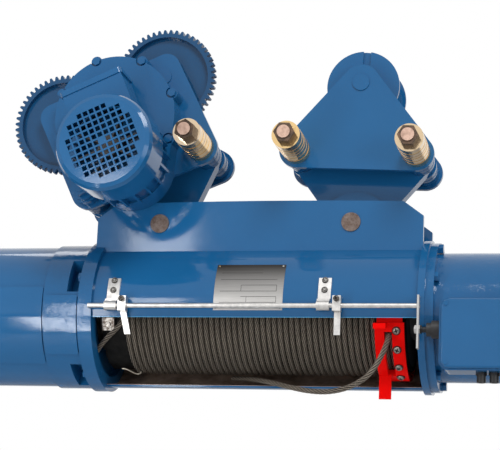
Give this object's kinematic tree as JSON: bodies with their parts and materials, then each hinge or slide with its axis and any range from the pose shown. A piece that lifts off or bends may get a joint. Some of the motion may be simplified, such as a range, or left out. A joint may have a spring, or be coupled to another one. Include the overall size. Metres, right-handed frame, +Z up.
{
  "type": "electric wire rope hoist",
  "caption": "Electric wire rope hoist: drum in a tubular shell, end motor and gearbox, control box, rope guide, limit rod, and a driven and an idle monorail bogie.",
  "frame": {"origin": "on the monorail beam's running surface, under the beam's web, midway between the two suspension pins", "axes": "+X along the drum and the beam, from the motor to the gearbox; +Z up; -Y the side with the travel drive, rope window and limit rod"},
  "size_m": [1.2985, 0.49, 0.7992],
  "materials": {
    "blue_enamel": "gloss",
    "red_enamel": "gloss",
    "black_enamel": "satin",
    "zinc": "satin",
    "yellow_zinc": "satin",
    "black_steel": "satin",
    "machined_steel": "machined",
    "oiled_steel": "oiled",
    "rope_steel": "stranded",
    "cast_iron": "machined",
    "plate_aluminium": "brushed",
    "black_plastic": "matte",
    "brass": "turned"
  },
  "bodies": {
    "hoist_frame": {"drum_shell": "blue_enamel", "shell_rings": "blue_enamel", "front_lifting_plate": "blue_enamel", "rear_lifting_plate": "blue_enamel", "suspension_pins": "oiled_steel", "pin_keepers": "zinc", "motor_end_shield": "blue_enamel", "motor_housing": "blue_enamel", "motor_brake_cover": "blue_enamel", "motor_stator": "cast_iron", "frame_fasteners": "zinc", "gearbox_housing": "blue_enamel", "gearbox_cover": "blue_enamel", "control_box": "blue_enamel", "control_box_lid": "blue_enamel", "cable_glands": "black_plastic", "main_bearings": "machined_steel", "rod_brackets": "zinc", "name_plate": "plate_aluminium", "limit_switch_body": "black_plastic"},
    "drum": {"drum_barrel": "black_enamel", "drum_hubs": "cast_iron", "wound_rope": "rope_steel", "rope_clamps": "zinc", "output_gear": "machined_steel"},
    "hoist_rotor": {"motor_rotor": "machined_steel", "drive_shaft": "machined_steel"},
    "gear_shaft_a": {"countershaft_a": "machined_steel"},
    "gear_shaft_b": {"countershaft_b": "machined_steel"},
    "rope_guide": {"guide_ring": "red_enamel", "guide_plate": "red_enamel", "guide_screws": "zinc", "rope_loop": "rope_steel"},
    "limit_linkage": {"limit_rod": "zinc", "rod_stops": "zinc", "switch_plunger": "black_steel"},
    "drive_bogie": {"drive_front_plate": "blue_enamel", "drive_rear_plate": "blue_enamel", "drive_link": "blue_enamel", "drive_tie_bolts": "black_steel", "drive_spacers": "yellow_zinc", "drive_axles": "machined_steel", "travel_gearbox": "blue_enamel", "travel_gearbox_bolts": "blue_enamel", "travel_motor_housing": "blue_enamel", "travel_fan_cover": "blue_enamel", "travel_terminal_box": "blue_enamel"},
    "drive_wheel_right": {"drive_wheel_right": "blue_enamel"},
    "drive_wheel_left": {"drive_wheel_left": "blue_enamel"},
    "drive_rear_wheel": {"drive_rear_wheel": "blue_enamel"},
    "travel_rotor": {"travel_rotor": "machined_steel"},
    "travel_countershaft": {"travel_countershaft": "machined_steel"},
    "travel_output_shaft": {"travel_output_shaft": "machined_steel"},
    "idle_bogie": {"idle_side_plates": "blue_enamel", "idle_link": "blue_enamel", "idle_tie_bolts": "black_steel", "idle_spacers": "yellow_zinc", "idle_axles": "machined_steel"},
    "idle_wheel_front": {"idle_wheel_front": "blue_enamel"},
    "idle_wheel_rear": {"idle_wheel_rear": "blue_enamel"}
  },
  "joints": [
    {"name": "drum_spin", "type": "hinge", "parent": "hoist_frame", "child": "drum", "pos_m": [0, 0, -0.421], "axis": [1, 0, 0], "range_deg": [0, 7560]},
    {"name": "guide_slide", "type": "slide", "parent": "hoist_frame", "child": "rope_guide", "axis": [1, 0, 0], "range_m": [-0.252, 0]},
    {"name": "rotor_spin", "type": "hinge", "parent": "hoist_frame", "child": "hoist_rotor", "pos_m": [0, 0, -0.421], "axis": [1, 0, 0], "continuous": true},
    {"name": "gear_a_spin", "type": "hinge", "parent": "hoist_frame", "child": "gear_shaft_a", "pos_m": [0, -0.00924, -0.35969], "axis": [1, 0, 0], "continuous": true},
    {"name": "gear_b_spin", "type": "hinge", "parent": "hoist_frame", "child": "gear_shaft_b", "pos_m": [0, 0.042, -0.34825], "axis": [1, 0, 0], "continuous": true},
    {"name": "limit_rod_slide", "type": "slide", "parent": "hoist_frame", "child": "limit_linkage", "axis": [1, 0, 0], "range_m": [-0.004, 0.008], "stiffness_N_per_m": 900},
    {"name": "drive_bogie_swing", "type": "hinge", "parent": "hoist_frame", "child": "drive_bogie", "pos_m": [-0.20475, 0, -0.235], "axis": [0, 1, 0], "range_deg": [0, 28.5]},
    {"name": "idle_bogie_swing", "type": "hinge", "parent": "hoist_frame", "child": "idle_bogie", "pos_m": [0.20475, 0, -0.235], "axis": [0, 1, 0], "range_deg": [-20, 15]},
    {"name": "drive_wheel_right_spin", "type": "hinge", "parent": "drive_bogie", "child": "drive_wheel_right", "pos_m": [-0.21329, 0, 0.0906], "axis": [0, 1, 0], "continuous": true},
    {"name": "drive_wheel_left_spin", "type": "hinge", "parent": "drive_bogie", "child": "drive_wheel_left", "pos_m": [-0.43705, 0, -0.0067], "axis": [0, 1, 0], "continuous": true},
    {"name": "drive_rear_wheel_spin", "type": "hinge", "parent": "drive_bogie", "child": "drive_rear_wheel", "pos_m": [-0.32517, 0, 0.04195], "axis": [0, 1, 0], "continuous": true},
    {"name": "travel_output_spin", "type": "hinge", "parent": "drive_bogie", "child": "travel_output_shaft", "pos_m": [-0.30224, 0, -0.01079], "axis": [0, 1, 0], "continuous": true},
    {"name": "travel_countershaft_spin", "type": "hinge", "parent": "drive_bogie", "child": "travel_countershaft", "pos_m": [-0.22924, 0, -0.07542], "axis": [0, 1, 0], "continuous": true},
    {"name": "travel_rotor_spin", "type": "hinge", "parent": "drive_bogie", "child": "travel_rotor", "pos_m": [-0.26616, 0, -0.11885], "axis": [0, 1, 0], "continuous": true},
    {"name": "idle_wheel_front_spin", "type": "hinge", "parent": "idle_bogie", "child": "idle_wheel_front", "pos_m": [0.21792, 0, 0.06671], "axis": [0, 1, 0], "continuous": true},
    {"name": "idle_wheel_rear_spin", "type": "hinge", "parent": "idle_bogie", "child": "idle_wheel_rear", "pos_m": [0.21792, 0, 0.06671], "axis": [0, 1, 0], "continuous": true}
  ],
  "couplings": [
    {"joint": "guide_slide", "follows": "drum_spin", "m_per_rad": -0.0019099},
    {"joint": "gear_b_spin", "follows": "drum_spin", "ratio": -3.3077},
    {"joint": "gear_a_spin", "follows": "drum_spin", "ratio": 6.6154},
    {"joint": "rotor_spin", "follows": "drum_spin", "ratio": -27.564},
    {"joint": "drive_wheel_left_spin", "follows": "drive_wheel_right_spin", "ratio": 1},
    {"joint": "travel_output_spin", "follows": "drive_wheel_right_spin", "ratio": -4},
    {"joint": "travel_countershaft_spin", "follows": "drive_wheel_right_spin", "ratio": 10.182},
    {"joint": "travel_rotor_spin", "follows": "drive_wheel_right_spin", "ratio": -28.509}
  ]
}
